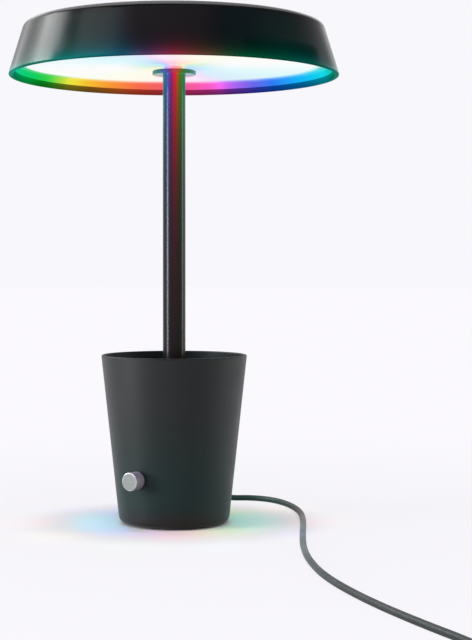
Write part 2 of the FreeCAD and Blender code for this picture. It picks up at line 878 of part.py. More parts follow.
def supply_lead():
    """The cord's inner end, from the tip of the strain relief to the terminals."""
    entry = board_top + terminal_size[2] / 2
    points = [
        polar(relief_tip, cord_angle, cord_height),
        polar(supply_turn_circle, cord_angle, cord_height),
        polar(supply_turn_circle, cord_angle, entry),
        polar(terminal_face, cord_angle, entry),
    ]
    return tube(points, [supply_bend_radius, terminal_lead_gap - cord_radius], cord_radius)


# ---- Dial -------------------------------------------------------------------


def dial(shape):
    return out_of_side(shape, knob_angle, knob_height)


def encoder_board():
    size = (2 * encoder_board_half_width, 2 * encoder_board_half_height, encoder_board_thickness)
    return dial(block(size, 0, 0, encoder_board_back))


def encoder_case():
    case = block((encoder_side, encoder_side, encoder_depth), 0, 0, encoder_back)
    room = encoder_side - 2 * encoder_case_wall
    cavity = block((room, room, encoder_depth - encoder_case_wall), 0, 0, encoder_back)
    bushing = cylinder(bushing_radius, dial_pad - encoder_case_wall, bushing_end)
    bore = cylinder(shaft_radius + turning_gap, encoder_back, bushing_end + OVER)
    return dial(fused(case.cut(cavity), [bushing]).cut(bore))


def encoder_washer():
    return dial(ring(bushing_radius + thread_gap, dial_washer_radius, dial_seat,
                     dial_seat + dial_washer_thickness))


def encoder_nut():
    seat = dial_seat + dial_washer_thickness
    nut = hexagon(dial_nut_flats, seat, nut_outer)
    return dial(nut.cut(cylinder(bushing_radius + thread_gap, seat - OVER, nut_outer + OVER)))


def encoder_rotor():
    """Detent wheel that the shaft turns and slides through."""
    wheel = cylinder(rotor_radius, rotor_inner, rotor_outer)
    notch = cylinder(rotor_tooth_depth, rotor_inner - OVER, rotor_outer + OVER, rotor_radius)
    wheel = wheel.cut(around(notch, rotor_teeth))
    hole = flat_shaft(tail_radius + turning_gap, tail_flat, rotor_inner - OVER, rotor_outer + OVER)
    return dial(wheel.cut(hole))


def encoder_shaft():
    stem = cylinder(shaft_radius, tail_start, bushing_end)
    grip = flat_shaft(shaft_radius, shaft_flat, bushing_end, shaft_end)
    tail = flat_shaft(tail_radius, tail_flat, tail_end, tail_start)
    return dial(fused(stem, [grip, tail]))


def knob():
    body = cylinder(knob_radius, knob_base, knob_face)
    edges = round_edges(body, knob_face, knob_radius) + round_edges(body, knob_base, knob_radius)
    body = body.makeFillet(knob_edge_round, edges)
    skirt = cylinder(nut_corner + motion_gap, knob_base - OVER, skirt_floor)
    bore = flat_shaft(shaft_radius + thread_gap, shaft_flat, skirt_floor - OVER, shaft_end)
    screw_hole = Part.makeCylinder(set_screw_radius + thread_gap, knob_radius,
                                   Vector(0, 0, set_screw_middle), Vector(0, -1, 0))
    return dial(body.cut([skirt, bore, screw_hole]))


def knob_set_screw():
    start = Vector(0, shaft_flat - shaft_radius, set_screw_middle)
    return dial(Part.makeCylinder(set_screw_radius, set_screw_length, start, Vector(0, -1, 0)))


def switch_plunger():
    """Button of the press switch behind the shaft."""
    return dial(cylinder(plunger_radius, plunger_outer - plunger_length, plunger_outer))


# ---- Power cord -------------------------------------------------------------


def cord_gland():
    """Moulded strain relief: neck in the wall, flange each side, tapered tail outside."""
    wall_middle = cup_outside(cord_height) - cup_wall / 2
    neck = cylinder(gland_neck_radius, gland_inner, gland_outer)
    inner_flange = cylinder(gland_flange_radius, gland_inner, wall_middle)
    outer_flange = cylinder(gland_flange_radius, wall_middle, gland_outer)
    edge = round_edges(outer_flange, gland_outer, gland_flange_radius)
    outer_flange = outer_flange.makeFillet(gland_flange_round, edge)
    tail = cone(relief_root_radius, relief_tip_radius, gland_outer, relief_tip)
    gland = fused(neck, [inner_flange, outer_flange, tail])
    pitch = relief_length / (relief_groove_count + 1)
    for step in range(relief_groove_count):
        middle = gland_outer + pitch * (step + 1)
        outside = relief_root_radius + OVER
        share = (middle - gland_outer) / relief_length
        face = relief_root_radius + share * (relief_tip_radius - relief_root_radius)
        gland = gland.cut(ring(face - relief_groove_depth, outside,
                               middle - relief_groove_width / 2,
                               middle + relief_groove_width / 2))
    gland = gland.cut(cylinder(cord_radius + thread_gap, gland_inner - OVER, relief_tip + OVER))
    return out_of_side(gland, cord_angle, cord_height).cut(cup_shell())


def inner_cord_tie():
    """Ring crimped on the lead inside the gland, so that a pull can't reach the terminals."""
    band = ring(cord_radius + thread_gap, inner_tie_radius, inner_tie_end, gland_inner)
    return out_of_side(band, cord_angle, cord_height)


def coil_point(angle, z):
    return coil_centre + polar(coil_outer_turn, angle, z)


def power_cord():
    route = [polar(relief_tip, cord_angle, cord_height)]
    route.append(polar(relief_tip + cord_straight_start, cord_angle, cord_height))
    route += [Vector(*point) for point in cord_route]
    route.append(coil_point(coil_start_angle, coil_bottom + cord_radius))
    bends = cord_bends(route)
    path = bent_path(route, bends)
    print("cord bends, mm:", " ".join("%.0f" % bend for bend in bends))
    print("cord on the table, mm: %.1f" % path.Length)
    solid = tube(route, bends, cord_radius)
    print("volume over section times length: %.5f"
          % (solid.Volume / (math.pi * cord_radius ** 2 * path.Length)))
    return solid


def coil_shape():
    return ring(coil_eye_radius, coil_outer_radius, coil_bottom, coil_top,
                coil_centre_x, coil_centre_y)


def cord_coil():
    """Outer shape of the wound coil."""
    wound = math.pi * (coil_inner_turn + coil_outer_turn) * coil_turns
    print("cord in the coil, mm: %.1f" % wound)
    return coil_shape()


def cord_tie():
    """Strap round the coil, held on itself."""
    size = (coil_outer_radius - coil_eye_radius + 2 * tie_thickness, tie_width,
            coil_top - coil_bottom + 2 * tie_thickness)
    band = block(size, (coil_outer_radius + coil_eye_radius) / 2, 0, coil_bottom - tie_thickness)
    band = turned(band, tie_angle)
    band.translate(coil_centre)
    return band.cut(coil_shape())


def tail_points():
    leave = coil_start_angle - 360.0 * coil_turns
    start = coil_point(leave, coil_top - cord_radius)
    return [start] + [Vector(*point) for point in tail_route]


def cord_tail():
    route = tail_points()
    bends = cord_bends(route)
    print("tail bend, mm: %.0f, length %.1f" % (bends[0], bent_path(route, bends).Length))
    return tube(route, bends, cord_radius)


def on_plug(shape):
    """Place a shape made along +Z so that it lies on the table past the cord's end."""
    before, end = tail_points()[-2:]
    along = (end - before).normalize()
    turn = FreeCAD.Rotation(UP.cross(along), UP, along, "ZXY")
    copy = shape.copy()
    copy.Placement = FreeCAD.Placement(end, turn).multiply(copy.Placement)
    return copy


def plug_body():
    low = plug_relief_length
    grip = block((plug_width, plug_height, plug_length), 0, 0, low)
    grip = grip.makeFillet(plug_round, [edge for edge in grip.Edges
                                        if abs(edge.Vertexes[0].Z - edge.Vertexes[1].Z) > OVER])
    relief = cone(relief_tip_radius, plug_relief_root, 0.0, low + plug_round)
    slots = [block((blade_thickness, blade_width, blade_root + OVER), side * blade_spacing / 2, 0,
                   low + plug_length - blade_root) for side in (-1, 1)]
    return on_plug(fused(grip, [relief]).cut(slots))


def plug_blades():
    size = (blade_thickness, blade_width, blade_root + blade_length)
    low = plug_relief_length + plug_length - blade_root
    blades = []
    for side in (-1, 1):
        blade = block(size, side * blade_spacing / 2, 0, low)
        start = Vector(side * blade_spacing / 2 - blade_thickness, 0,
                       low + blade_root + blade_hole_reach)
        hole = Part.makeCylinder(blade_hole_radius, 2 * blade_thickness, start, Vector(1, 0, 0))
        blades.append(blade.cut(hole))
    return on_plug(Part.makeCompound(blades))


# ---- Write every piece ------------------------------------------------------

PIECES = (
    shade_shell, heat_spreader, head_screws, led_board, white_leds, colour_leds, head_socket,
    diffuser, diffuser_ring, post_collar, threaded_nipple, lock_washer, top_nut, lamp_lead,
    post_tube, post_top_bush, post_foot, post_foot_screws,
    cup_shell, cup_floor, floor_grommet, ballast_weight, bottom_cover, foot_ring, bottom_screws,
    control_board, board_standoffs, board_screws, driver_transformer, bulk_capacitor,
    board_chips, board_sockets, terminal_block, supply_lead, inner_cord_tie, cord_gland,
    encoder_board, encoder_case, encoder_washer, encoder_nut, encoder_rotor, encoder_shaft,
    knob, knob_set_screw, switch_plunger, encoder_lead,
    power_cord, cord_coil, cord_tie, cord_tail, plug_body, plug_blades,
)

os.makedirs("parts", exist_ok=True)
for make in PIECES:
    make().exportStep("parts/%s.step" % make.__name__)
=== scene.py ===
"""Looks of the desk lamp with a pen cup base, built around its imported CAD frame."""

import math

import bpy
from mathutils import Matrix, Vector


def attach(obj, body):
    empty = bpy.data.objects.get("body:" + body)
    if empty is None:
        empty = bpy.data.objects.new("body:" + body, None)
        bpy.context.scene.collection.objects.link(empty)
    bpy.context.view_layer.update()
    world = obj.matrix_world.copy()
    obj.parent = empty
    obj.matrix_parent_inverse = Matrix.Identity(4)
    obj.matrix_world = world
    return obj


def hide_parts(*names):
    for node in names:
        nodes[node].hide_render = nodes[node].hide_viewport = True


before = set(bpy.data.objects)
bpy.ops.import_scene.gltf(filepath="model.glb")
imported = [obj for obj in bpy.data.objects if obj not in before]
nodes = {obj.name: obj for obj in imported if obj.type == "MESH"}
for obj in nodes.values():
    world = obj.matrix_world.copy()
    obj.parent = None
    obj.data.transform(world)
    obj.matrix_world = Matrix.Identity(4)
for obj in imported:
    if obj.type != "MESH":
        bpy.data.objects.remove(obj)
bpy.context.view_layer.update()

MM = 0.001


def extent(name, axis):
    """The lowest and the highest place of a CAD node along an axis."""
    node = nodes[name]
    places = [(node.matrix_world @ Vector(corner))[axis] for corner in node.bound_box]
    return min(places), max(places)


SHADE_EDGE, SHADE_TOP = extent("shade_shell", 2)
LIP_TOP = extent("diffuser_ring", 2)[0]         # the light guide stands on the shade's lip
COLLAR_UNDERSIDE = extent("post_collar", 2)[0]
COLLAR_THICKNESS = 3.4 * MM
CUP_TOP = extent("cup_shell", 2)[1]
DIAL_MIDDLE = [sum(extent("knob", axis)) / 2 for axis in range(3)]


def place_in_scene(name, data):
    made = bpy.data.objects.new(name, data)
    bpy.context.scene.collection.objects.link(made)
    return made


# ---- Camera -----------------------------------------------------------------

camera = place_in_scene("camera", bpy.data.cameras.new("camera"))
camera.location = (-0.0007, -1.2480, 0.2098)
camera.rotation_euler = (math.radians(89.35), 0.0, math.radians(-1.15))
camera.data.sensor_width = 36.0
camera.data.lens = 85.57
camera.data.shift_x = 0.0502
camera.data.shift_y = -0.0569
camera.data.clip_end = 60.0
bpy.context.scene.camera = camera

# ---- Cord, in millimetres ---------------------------------------------------

CORD_RADIUS = 2.5
CORD_ROUTE = [                          # as the cord lies, from the strain relief's tip
    (12.90, 73.17, 13.0), (16.25, 92.18, 13.0), (29.0, 107.5, 7.2), (49.0, 110.6, 2.5),
    (69.5, 112.5, 2.5), (88.5, 99.0, 2.5), (101.0, 70.0, 2.5), (107.0, 31.0, 2.5),
    (105.0, -16.0, 2.5), (99.5, -72.0, 2.5), (95.0, -130.0, 2.5), (95.0, -182.0, 2.5),
    (101.0, -239.2, 2.5), (118.3, -304.4, 2.5), (142.0, -367.2, 2.5), (167.5, -424.0, 2.5),
]
CORD_TAIL = [(134.0, -528.5, 7.5), (114.5, -530.5, 7.5)]
COIL_CENTRE = (146.0, -491.0)
COIL_START = 12.0                       # degrees
COIL_LAYER_TURNS = 3.125                # of each of its two layers
COIL_OUTER, COIL_INNER = 34.0, 18.2     # radii of the cord's middle
COIL_LOW, COIL_HIGH = 3.3, 8.35         # heights of the two layers
COIL_STEPS = 16                         # points of a turn
CLIMB_STEPS = 6                         # points from the lower layer to the upper one
LAYER_STEPS = int(COIL_LAYER_TURNS * COIL_STEPS)


def coil_points():
    """Clockwise inwards on the table, then outwards on top."""
    stretch = 1.0 / math.cos(math.pi / COIL_STEPS)
    points = []
    for step in range(2 * LAYER_STEPS + 1):
        share = 1.0 - abs(step / LAYER_STEPS - 1.0)
        radius = COIL_OUTER + share * (COIL_INNER - COIL_OUTER)
        if 0 < step < 2 * LAYER_STEPS:
            radius *= stretch
        climb = min(max((step - LAYER_STEPS + CLIMB_STEPS / 2) / CLIMB_STEPS, 0.0), 1.0)
        turn = math.radians(COIL_START - 360.0 * step / COIL_STEPS)
        points.append((COIL_CENTRE[0] + radius * math.cos(turn),
                       COIL_CENTRE[1] + radius * math.sin(turn),
                       COIL_LOW + climb * (COIL_HIGH - COIL_LOW)))
    return points


def smooth_curve(name, points, radius):
    """A round lead along one NURBS spline, its control points in millimetres."""
    data = bpy.data.curves.new(name, "CURVE")
    data.dimensions = "3D"
    spline = data.splines.new("NURBS")
    spline.points.add(len(points) - 1)
    for point, place in zip(spline.points, points):
        point.co = [value * MM for value in place] + [1.0]
        point.radius = radius * MM
    spline.order_u = 3
    spline.use_endpoint_u = True
    spline.resolution_u = 8
    data.bevel_depth = 1.0              # times the radius of each point
    data.bevel_resolution = 6
    data.use_fill_caps = True
    return place_in_scene(name, data)


cord = smooth_curve("mains_cord", CORD_ROUTE + coil_points() + CORD_TAIL, CORD_RADIUS)
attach(cord, "lamp")
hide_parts("power_cord", "cord_coil", "cord_tail")

# ---- Shader nodes -----------------------------------------------------------


def add(tree, kind, inputs=None, **settings):
    """A node with its settings, and a value or a socket for each input named."""
    made = tree.nodes.new(kind)
    for key, value in settings.items():
        setattr(made, key, value)
    for key, value in (inputs or {}).items():
        if isinstance(value, bpy.types.NodeSocket):
            tree.links.new(value, made.inputs[key])
        else:
            made.inputs[key].default_value = value
    return made


def tree_of(*values):
    """The node tree of the first socket among some values."""
    return next(value.id_data for value in values if isinstance(value, bpy.types.NodeSocket))


def calc(operation, *values):
    inputs = dict(enumerate(values))
    return add(tree_of(*values), "ShaderNodeMath", inputs, operation=operation).outputs[0]


def product(first, *others):
    """All the values multiplied."""
    for other in others:
        first = calc("MULTIPLY", first, other)
    return first


def rest_of(share):
    return calc("SUBTRACT", 1.0, share)


def vector(operation, *values, out=0):
    inputs = dict(enumerate(values))
    return add(tree_of(*values), "ShaderNodeVectorMath", inputs, operation=operation).outputs[out]


def scaled(colour, factor):
    return add(tree_of(colour, factor), "ShaderNodeVectorMath", {0: colour, "Scale": factor},
               operation="SCALE").outputs[0]


def noise(coords, scale, detail=2.0, rough=0.5, stretch=None):
    tree = tree_of(coords)
    if stretch:
        coords = add(tree, "ShaderNodeMapping", {"Vector": coords, "Scale": stretch}).outputs[0]
    inputs = {"Vector": coords, "Scale": scale, "Detail": detail, "Roughness": rough}
    return add(tree, "ShaderNodeTexNoise", inputs).outputs[0]


def band(value, low, high, to_low=0.0, to_high=1.0):
    """A smooth change from one value to another as the input goes from low to high."""
    inputs = {0: value, 1: low, 2: high, 3: to_low, 4: to_high}
    return add(tree_of(value), "ShaderNodeMapRange", inputs,
               interpolation_type="SMOOTHSTEP").outputs[0]


def fading(value, start, reach):
    """1 at the start, falling off as the value moves away from it."""
    away = calc("ABSOLUTE", calc("SUBTRACT", value, start))
    return calc("EXPONENT", calc("DIVIDE", away, -reach))


def mix(share, first, second, blend="MIX"):
    def full(colour):
        return (*colour, 1.0) if isinstance(colour, tuple) and len(colour) == 3 else colour
    made = add(tree_of(share, first, second), "ShaderNodeMix",
               {0: share, 6: full(first), 7: full(second)}, data_type="RGBA", blend_type=blend)
    return made.outputs[2]


def ramp(value, stops):
    """Colours by position from 0 to 1."""
    made = add(tree_of(value), "ShaderNodeValToRGB", {0: value})
    elements = made.color_ramp.elements
    while len(elements) < len(stops):
        elements.new(0.5)
    for element, (place, colour) in zip(elements, stops):
        element.position = place
        element.color = (*colour, 1.0)
    return made.outputs[0]


# ---- Surfaces ---------------------------------------------------------------

DUST = (0.45, 0.44, 0.42)


def toned(colour, factor):
    return tuple(min(value * factor, 1.0) for value in colour)


class Surface:
    """A Principled material whose colour, roughness and bump vary over the piece."""

    def __init__(self, name, colour, rough, metallic=0.0, specular=0.5, spread=0.12,
                 patch=25.0, grain=1500.0, depth=0.00002, rough_spread=0.06, dust=0.0,
                 coat=0.0, coat_rough=0.1, stretch=None):
        self.material = bpy.data.materials.new(name)
        self.material.use_nodes = True
        self.tree = self.material.node_tree
        self.shader = self.tree.nodes["Principled BSDF"]
        self.coords = add(self.tree, "ShaderNodeTexCoord").outputs["Object"]
        self.x, self.y, self.z = add(self.tree, "ShaderNodeSeparateXYZ", {0: self.coords}).outputs
        self.patches = noise(self.coords, patch, 4.0, 0.6)
        self.speckle = noise(self.coords, grain, 2.0, 0.6, stretch)
        tone = mix(band(self.patches, 0.3, 0.7), toned(colour, 1 - spread),
                   toned(colour, 1 + spread))
        tone = mix(band(self.speckle, 0.35, 0.75, 0.0, 0.5), tone, toned(colour, 1 + 2 * spread))
        if dust:
            settled = product(band(noise(self.coords, 90.0, 6.0, 0.7), 0.5, 0.8), dust)
            tone = mix(settled, tone, DUST)
        self.colour = tone
        self.rough = band(noise(self.coords, 2.3 * patch, 5.0, 0.65), 0.25, 0.75,
                          rough - rough_spread, rough + rough_spread)
        self.shader.inputs["Metallic"].default_value = metallic
        self.shader.inputs["Specular IOR Level"].default_value = specular
        self.shader.inputs["Coat Weight"].default_value = coat
        self.shader.inputs["Coat Roughness"].default_value = coat_rough
        self.relief, self.depth = self.speckle, depth

    def radius(self):
        """The distance from the lamp's axis."""
        return calc("SQRT", calc("ADD", product(self.x, self.x), product(self.y, self.y)))

    def facing(self):
        """How far the true normal points away from the lamp's axis, and how far up."""
        normal = add(self.tree, "ShaderNodeNewGeometry").outputs["True Normal"]
        x, y, upward = add(self.tree, "ShaderNodeSeparateXYZ", {0: normal}).outputs
        return calc("ADD", product(x, self.x), product(y, self.y)), upward

    def hue_round(self, colours, times=1.0):
        """Colour by angle round the lamp, the same again on the far side."""
        left, front = product(self.x, -1.0), product(self.y, -1.0)
        turns = product(calc("ARCTAN2", left, front), times / math.pi)
        share = calc("FRACT", calc("ADD", turns, 4.0))
        return ramp(share, [(degrees / 180.0, colour) for degrees, colour in colours])

    def tint(self, mask, colour):
        self.colour = mix(mask, self.colour, colour)

    def wear_and_painted_shade(self, mask, colour, rough):
        """Rubbed or dirty places, and painted shade too: where the mask is 1 the surface takes this
        colour.
        """
        broken = product(mask, band(noise(self.coords, 400.0, 5.0, 0.7), 0.35, 0.6))
        self.tint(broken, colour)
        self.rough = band(broken, 0.0, 1.0, self.rough, rough)

    def painted_shade_no_gloss(self, mask, colour):
        """Painted shade: where the mask is 1 the pale gloss is taken away and this dark colour is
        painted on.
        """
        self.tree.links.new(mask, self.shader.inputs["Metallic"])
        self.tree.links.new(mix(mask, (1.0, 1.0, 1.0), (0.0, 0.0, 0.0)),
                            self.shader.inputs["Specular Tint"])
        self.tint(mask, colour)

    def glow(self, colour, strength):
        self.tree.links.new(colour, self.shader.inputs["Emission Color"])
        self.shader.inputs["Emission Strength"].default_value = strength

    def finish(self, *names):
        """Wire the shader and put the material on pieces or CAD nodes."""
        links, inputs = self.tree.links, self.shader.inputs
        links.new(self.colour, inputs["Base Color"])
        links.new(self.rough, inputs["Roughness"])
        bump = add(self.tree, "ShaderNodeBump", {"Strength": 1.0, "Distance": self.depth,
                                                 "Height": self.relief})
        links.new(bump.outputs[0], inputs["Normal"])
        for name in names:
            piece = nodes[name] if name in nodes else bpy.data.objects[name]
            piece.data.materials.clear()
            piece.data.materials.append(self.material)


def cover(pieces, name, colour, rough, **more):
    """A plain surface on some pieces."""
    Surface(name, colour, rough, **more).finish(*pieces)


# ---- Colours of the light ---------------------------------------------------

# Two rainbows go round the lamp. Place in degrees from the front to its left, then colour.
RAINBOW = [
    (0, (0.89, 0.10, 0.18)), (14, (1.00, 0.11, 0.55)), (19, (0.98, 0.14, 0.92)),
    (22, (0.60, 0.13, 0.94)), (27, (0.34, 0.13, 0.89)), (33, (0.14, 0.13, 0.87)),
    (42, (0.02, 0.20, 0.94)), (57, (0.00, 0.47, 1.00)), (76, (0.00, 0.73, 0.83)),
    (84, (0.00, 0.60, 0.56)), (92, (0.00, 0.61, 0.30)), (114, (0.00, 0.66, 0.10)),
    (120, (0.02, 0.64, 0.07)), (124, (0.07, 0.70, 0.07)), (128, (0.27, 0.75, 0.06)),
    (131, (0.50, 0.76, 0.05)), (134, (0.82, 0.83, 0.05)), (138, (0.94, 0.74, 0.04)),
    (143, (0.96, 0.56, 0.03)), (154, (0.98, 0.32, 0.03)), (166, (0.98, 0.15, 0.07)),
    (180, (0.89, 0.10, 0.18)),
]
# How strongly the light painted as glow on the shade's lip shows them: its mixed colours are duller.
LIP = [
    (0, 1.0), (14, 0.72), (21, 0.62), (33, 0.95), (57, 0.85), (76, 0.66), (92, 0.75),
    (110, 1.0), (122, 0.85), (132, 0.52), (146, 0.48), (158, 0.90), (180, 1.0),
]
# The same, paler, on the sheet that spreads the light.
SHEET = [
    (0, (1.00, 0.82, 0.88)), (11, (0.99, 0.80, 0.98)), (19, (0.87, 0.74, 0.94)),
    (29, (0.70, 0.84, 0.97)), (58, (0.72, 0.94, 0.97)), (76, (0.83, 0.95, 0.98)),
    (97, (0.94, 0.965, 0.965)), (120, (0.98, 0.965, 0.95)), (136, (0.94, 0.98, 0.88)),
    (150, (0.99, 0.965, 0.83)), (168, (1.00, 0.93, 0.84)), (180, (1.00, 0.82, 0.88)),
]
# What of it is painted as glow low on the outside of the shade's wall.
LEAK = [
    (0, (0.130, 0.009, 0.020)), (9, (0.042, 0.020, 0.064)), (16, (0.004, 0.053, 0.100)),
    (28, (0.001, 0.108, 0.108)), (45, (0.001, 0.150, 0.115)), (66, (0.003, 0.165, 0.120)),
    (84, (0.003, 0.125, 0.085)), (96, (0.003, 0.075, 0.060)), (112, (0.002, 0.085, 0.080)),
    (130, (0.000, 0.060, 0.048)), (150, (0.000, 0.045, 0.020)), (157, (0.000, 0.040, 0.014)),
    (163, (0.009, 0.034, 0.010)), (171, (0.064, 0.022, 0.010)), (180, (0.130, 0.009, 0.020)),
]
# Its reflection, painted as glow on the post and the collar.
STREAKS = [
    (0, (0.62, 0.010, 0.050)), (14, (0.22, 0.010, 0.160)), (28, (0.07, 0.050, 0.360)),
    (48, (0.01, 0.100, 0.330)), (66, (0.00, 0.150, 0.240)), (84, (0.01, 0.260, 0.120)),
    (100, (0.01, 0.200, 0.150)), (118, (0.00, 0.170, 0.080)), (138, (0.02, 0.190, 0.010)),
    (152, (0.13, 0.120, 0.005)), (162, (0.32, 0.090, 0.005)), (172, (0.60, 0.020, 0.015)),
    (180, (0.62, 0.010, 0.050)),
]

# ---- Light unit -------------------------------------------------------------


SHEET_EDGE = 0.1250                     # from this radius on the sheet has the band's colours
SHEET_HUB = 0.012


def opal_sheet():
    """It glows in the pale colours, and more fully coloured at its edge and its hub."""
    surface = Surface("opal_sheet", (0.035, 0.035, 0.036), 0.60, specular=0.0, spread=0.02,
                      patch=30.0, depth=0.000005)
    radius = surface.radius()
    flank = calc("DIVIDE", surface.y, radius)
    edge_start = calc("SUBTRACT", SHEET_EDGE - 0.008, product(surface.x, 0.028))
    edge_start = calc("SUBTRACT", edge_start, product(flank, flank, 0.019))
    edge = band(radius, edge_start, SHEET_EDGE)
    hub = band(radius, SHEET_HUB, 0.050, 0.30, 0.0)
    uneven = band(surface.patches, 0.2, 0.8, 0.85, 1.15)
    share = calc("MINIMUM", product(calc("ADD", edge, hub), uneven), 0.96)
    surface.glow(mix(share, surface.hue_round(SHEET), surface.hue_round(RAINBOW)), 0.98)
    surface.finish("diffuser")


def light_guide():
    surface = Surface("light_guide", (0.007, 0.007, 0.007), 0.30, specular=0.0, spread=0.02,
                      depth=0.00001)
    pale = band(surface.z, LIP_TOP + 0.0025, LIP_TOP + 0.0049, 0.0, 0.012)
    surface.glow(mix(pale, surface.hue_round(RAINBOW), (0.95, 0.95, 0.95)), 0.95)
    surface.finish("diffuser_ring")


opal_sheet()
light_guide()

# ---- Shade ------------------------------------------------------------------


def lip_light(surface, lit):
    """Painted light: the rainbow glowing on the lip, stronger towards the guide and at the shade's
    two ends.
    """
    colour = add(surface.tree, "ShaderNodeGamma", {0: surface.hue_round(RAINBOW), 1: 1.30}).outputs[0]
    colour = scaled(colour, product(lit, band(surface.z, SHADE_EDGE, LIP_TOP, 0.24, 0.38)))
    colour = scaled(colour, band(calc("ABSOLUTE", surface.x), 0.110, 0.132, 1.0, 1.7))
    greys = [(degrees, (share, share, share)) for degrees, share in LIP]
    return vector("MULTIPLY", colour, surface.hue_round(greys))


def leak_light(surface, lit, under):
    """Painted light: the lamp's colours glowing low on the outside. They fade upwards, fastest in the
    middle of the wall, and run on as a thin line at its two ends."""
    side = calc("ABSOLUTE", surface.x)
    middle = product(band(surface.x, -0.040, -0.028), band(surface.x, 0.080, 0.050))
    steep = product(fading(surface.z, SHADE_EDGE, 0.0043), band(side, 0.004, 0.020, 1.74, 1.50))
    gentle = calc("ADD",
                  product(fading(surface.z, SHADE_EDGE, 0.0055),
                          band(side, 0.105, 0.130, 1.0, 0.5)),
                  product(fading(surface.z, SHADE_EDGE, 0.030),
                          band(side, 0.085, 0.125, 0.14, 0.02)))
    line = product(fading(surface.z, SHADE_EDGE, 0.0018), band(side, 0.112, 0.130, 0.0, 1.8))
    strength = calc("ADD", product(steep, middle), product(gentle, rest_of(middle)))
    strength = product(calc("ADD", strength, line), rest_of(lit))
    # Less on the rim's underside than on the wall, and nothing on the top.
    balance = product(band(under, 0.0, 1.0, 1.28, 0.85),
                      band(surface.z, SHADE_TOP - 0.0036, SHADE_TOP - 0.0101))
    return scaled(surface.hue_round(LEAK), product(strength, balance))


def hem(surface):
    """Where the gloss is painted out as shade: the wall just above the lit rim, higher up on the
    right, but not at its two ends.
    """
    x, z = surface.x, surface.z
    low = calc("MAXIMUM", fading(z, SHADE_EDGE, 0.010),
               product(band(z, SHADE_EDGE + 0.0233, SHADE_EDGE + 0.0068), band(x, 0.040, 0.060)))
    return product(low, product(band(x, -0.099, -0.088, 0.0, 0.95), band(x, 0.1190, 0.1040)))


def shade_paint():
    surface = Surface("shade_paint", (0.0024, 0.0028, 0.0030), 0.22, specular=0.03, spread=0.15,
                      patch=12.0, grain=2600.0, depth=0.000010, rough_spread=0.03, dust=0.002)
    x, z = surface.x, surface.z
    surface.wear_and_painted_shade(band(z, SHADE_EDGE + 0.0012, SHADE_EDGE + 0.0003, 0.0, 0.7),
                 (0.012, 0.012, 0.012), 0.45)
    surface.wear_and_painted_shade(band(z, SHADE_TOP - 0.0036, SHADE_TOP - 0.0011, 0.0, 0.35),
                 (0.012, 0.012, 0.013), 0.42)
    # Painted highlight along the top's round edge.
    painted_highlight_edge = product(band(z, SHADE_TOP - 0.0037, SHADE_TOP - 0.0025),
                         band(z, SHADE_TOP - 0.00005, SHADE_TOP - 0.00025))
    surface.tint(painted_highlight_edge, (0.10, 0.098, 0.101))
    # Painted reflections of the lamp's light on the wall below the top: reddish in the middle, bluish
    # to the right.
    wall = band(z, SHADE_TOP - 0.0037, SHADE_TOP - 0.0056)
    red_reflection = product(band(x, -0.045, -0.030, 0.0, 0.4), band(x, 0.050, 0.015))
    surface.tint(product(wall, red_reflection), (0.021, 0.016, 0.020))
    blue_reflection = product(band(x, 0.020, 0.045), band(x, 0.100, 0.065))
    surface.tint(product(wall, blue_reflection), (0.0030, 0.0070, 0.0088))

    outward, upward = surface.facing()
    under = calc("LESS_THAN", upward, -0.5)
    lip = product(calc("LESS_THAN", outward, 0.0), rest_of(under),
                  calc("LESS_THAN", z, LIP_TOP + 0.0002))
    lit = calc("MAXIMUM", lip, product(under, band(surface.y, -0.015, 0.015)))
    surface.glow(vector("ADD", leak_light(surface, lit, under), lip_light(surface, lit)), 1.0)
    # Painted shade: the lit rim and the hem take the lamp's colours only, with the pale gloss over
    # them painted out.
    surface.painted_shade_no_gloss(calc("MAXIMUM", calc("MAXIMUM", lip, under), hem(surface)),
                 (0.0009, 0.0032, 0.0054))
    surface.finish("shade_shell")


shade_paint()

# ---- Post, collar and cup ---------------------------------------------------


def post_lacquer():
    surface = Surface("post_lacquer", (0.005, 0.0045, 0.005), 0.24, specular=0.14, spread=0.15,
                      patch=18.0, grain=2200.0, depth=0.000005, rough_spread=0.03)
    surface.wear_and_painted_shade(band(surface.z, CUP_TOP + 0.0126, CUP_TOP - 0.0174, 0.0, 0.25),
                 (0.02, 0.02, 0.02), 0.34)
    # Painted reflection of the lamp's colours, fading downwards from the collar.
    surface.glow(scaled(surface.hue_round(STREAKS), fading(surface.z, COLLAR_UNDERSIDE, 0.046)),
                 1.0)
    surface.finish("post_tube")


def collar_lacquer():
    """Painted reflection of the lamp's colours, finer on the disc than on the neck above it."""
    surface = Surface("collar_lacquer", (0.010, 0.010, 0.011), 0.20, specular=0.25, patch=60.0,
                      grain=2200.0, depth=0.000006)
    surface.wear_and_painted_shade(band(surface.radius(), 0.0172, 0.0178, 0.0, 0.6), (0.03, 0.03, 0.03), 0.35)
    neck = calc("GREATER_THAN", surface.z, COLLAR_UNDERSIDE + COLLAR_THICKNESS + 0.0001)
    streaks = scaled(surface.hue_round(STREAKS, 1.5), 0.8)
    warm = mix(0.25, surface.hue_round(RAINBOW, 0.5), (1.0, 1.0, 1.0))
    surface.glow(mix(neck, streaks, warm), 1.0)
    surface.finish("post_collar")


